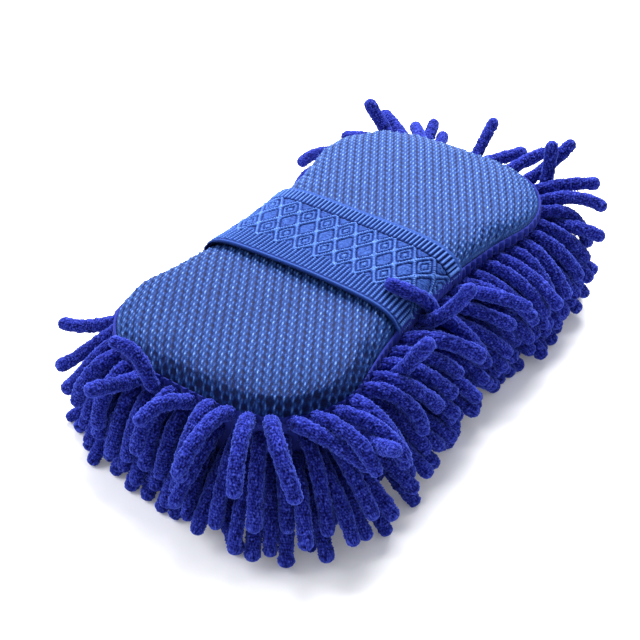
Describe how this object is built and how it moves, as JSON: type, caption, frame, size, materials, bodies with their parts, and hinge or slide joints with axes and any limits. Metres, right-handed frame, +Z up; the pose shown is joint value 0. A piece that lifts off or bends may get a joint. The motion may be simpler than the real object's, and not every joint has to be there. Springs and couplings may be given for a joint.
{
  "type": "wash mitt",
  "caption": "Figure-8 wash mitt: foam pad in a mesh and cloth cover, rows of chenille noodles on its sides and underside, wide elastic hand strap over the waist.",
  "frame": {"origin": "on the surface that the mitt lies on, under the middle of the mitt", "axes": "+X along the mitt, from the near lobe to the far lobe; +Y across it, along the strap; +Z up"},
  "size_m": [0.269, 0.1708, 0.0617],
  "materials": {
    "foam": "open-cell sponge",
    "mesh": "warp-knit mesh",
    "cloth": "plain knit",
    "strap": "jacquard elastic",
    "thread": "sewing thread",
    "chenille": "fuzzy chenille"
  },
  "bodies": {
    "mitt": {"belly_row_1_far": "chenille", "belly_row_1_near": "chenille", "belly_row_2_far": "chenille", "belly_row_2_near": "chenille", "belly_row_3_far": "chenille", "belly_row_3_near": "chenille", "belly_row_4_far": "chenille", "belly_row_4_near": "chenille", "belly_row_5_far": "chenille", "belly_row_5_near": "chenille", "belly_row_6_far": "chenille", "belly_row_6_near": "chenille", "foam_core": "foam", "ground_cloth": "cloth", "mesh_cover": "mesh", "seam_binding": "cloth", "seam_stitches": "thread", "skirt_guard_noodles": "chenille", "skirt_row_1_far_end": "chenille", "skirt_row_1_left_side": "chenille", "skirt_row_1_near_end": "chenille", "skirt_row_1_right_side": "chenille", "skirt_row_2_far_end": "chenille", "skirt_row_2_left_side": "chenille", "skirt_row_2_near_end": "chenille", "skirt_row_2_right_side": "chenille", "skirt_row_3_far_end": "chenille", "skirt_row_3_left_side": "chenille", "skirt_row_3_near_end": "chenille", "skirt_row_3_right_side": "chenille", "skirt_row_4_far_end": "chenille", "skirt_row_4_left_side": "chenille", "skirt_row_4_near_end": "chenille", "skirt_row_4_right_side": "chenille", "standing_noodles": "chenille", "strap_flank_left": "strap", "strap_flank_right": "strap", "strap_tacks_left": "thread", "strap_tacks_right": "thread"},
    "strap": {"strap_crown": "strap"}
  },
  "joints": [
    {"name": "strap_lift", "type": "slide", "parent": "mitt", "child": "strap", "axis": [0, 0, 1], "range_m": [0, 0.025], "stiffness_N_per_m": 300, "deforming": ["strap_flank_left", "strap_flank_right"]}
  ]
}
